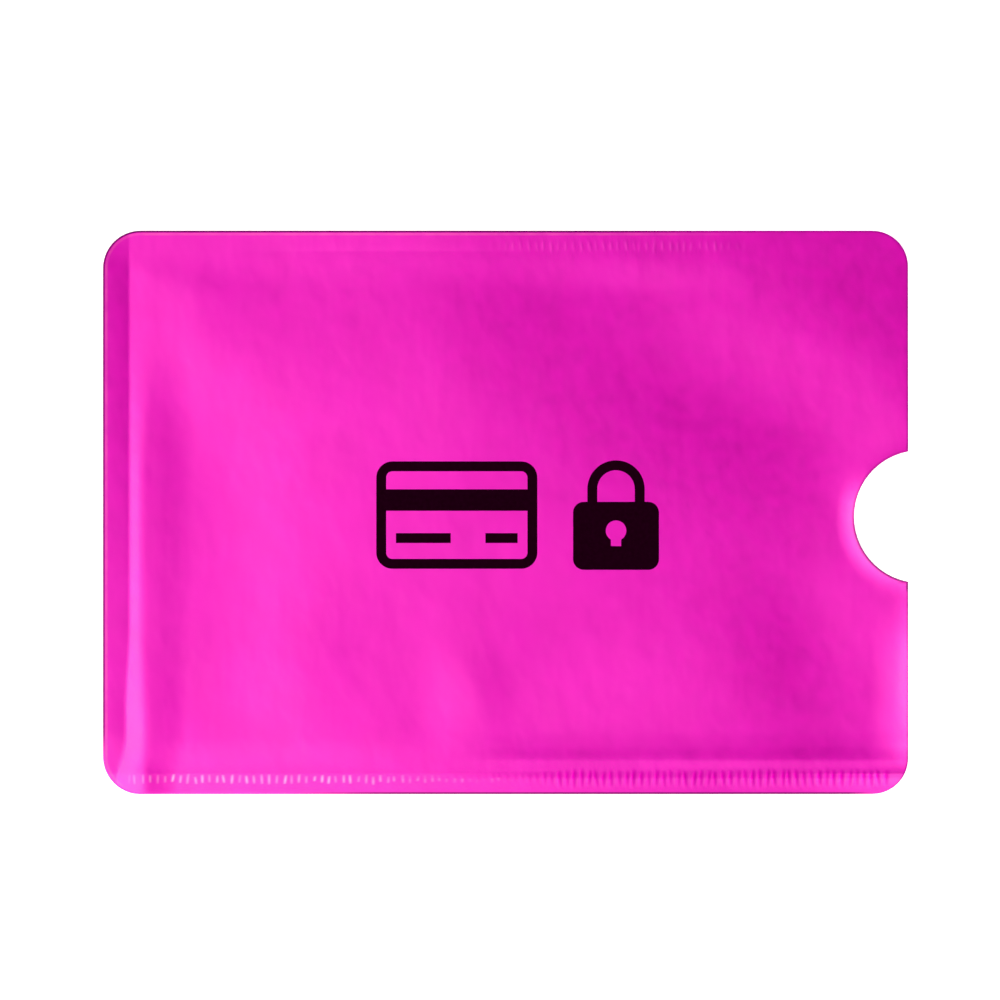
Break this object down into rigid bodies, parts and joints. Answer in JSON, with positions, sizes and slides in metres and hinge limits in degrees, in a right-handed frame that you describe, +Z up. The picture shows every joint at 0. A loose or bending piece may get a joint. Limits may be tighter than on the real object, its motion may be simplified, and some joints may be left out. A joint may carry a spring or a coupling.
{
  "type": "rfid card holder",
  "caption": "Flat card sleeve of tinted foil laminate, sealed on its long sides and one end, with an open mouth and a thumb notch.",
  "frame": {"origin": "centre of the sleeve's outline, at the level of the flat of the rear wall that it lies on", "axes": "+X from the closed end towards the mouth, +Y across the width towards the upper seam, +Z up out of the printed front wall"},
  "size_m": [0.09, 0.063, 0.0013],
  "materials": {
    "tinted_film": "satin metallic magenta, a tinted clear film over bright foil",
    "shield_foil": "bright rolled foil",
    "seal_liner": "silver-grey translucent heat-seal film",
    "fused_seam": "melted liner, slightly cloudy",
    "black_ink": "printed ink, semi-gloss"
  },
  "bodies": {
    "root": {"rear_film": "tinted_film", "rear_foil": "shield_foil", "rear_liner": "seal_liner", "lower_side_seal": "fused_seam", "upper_side_seal": "fused_seam", "end_seal": "fused_seam", "front_liner": "seal_liner", "front_foil": "shield_foil", "front_film": "tinted_film", "front_print": "black_ink"}
  },
  "joints": []
}
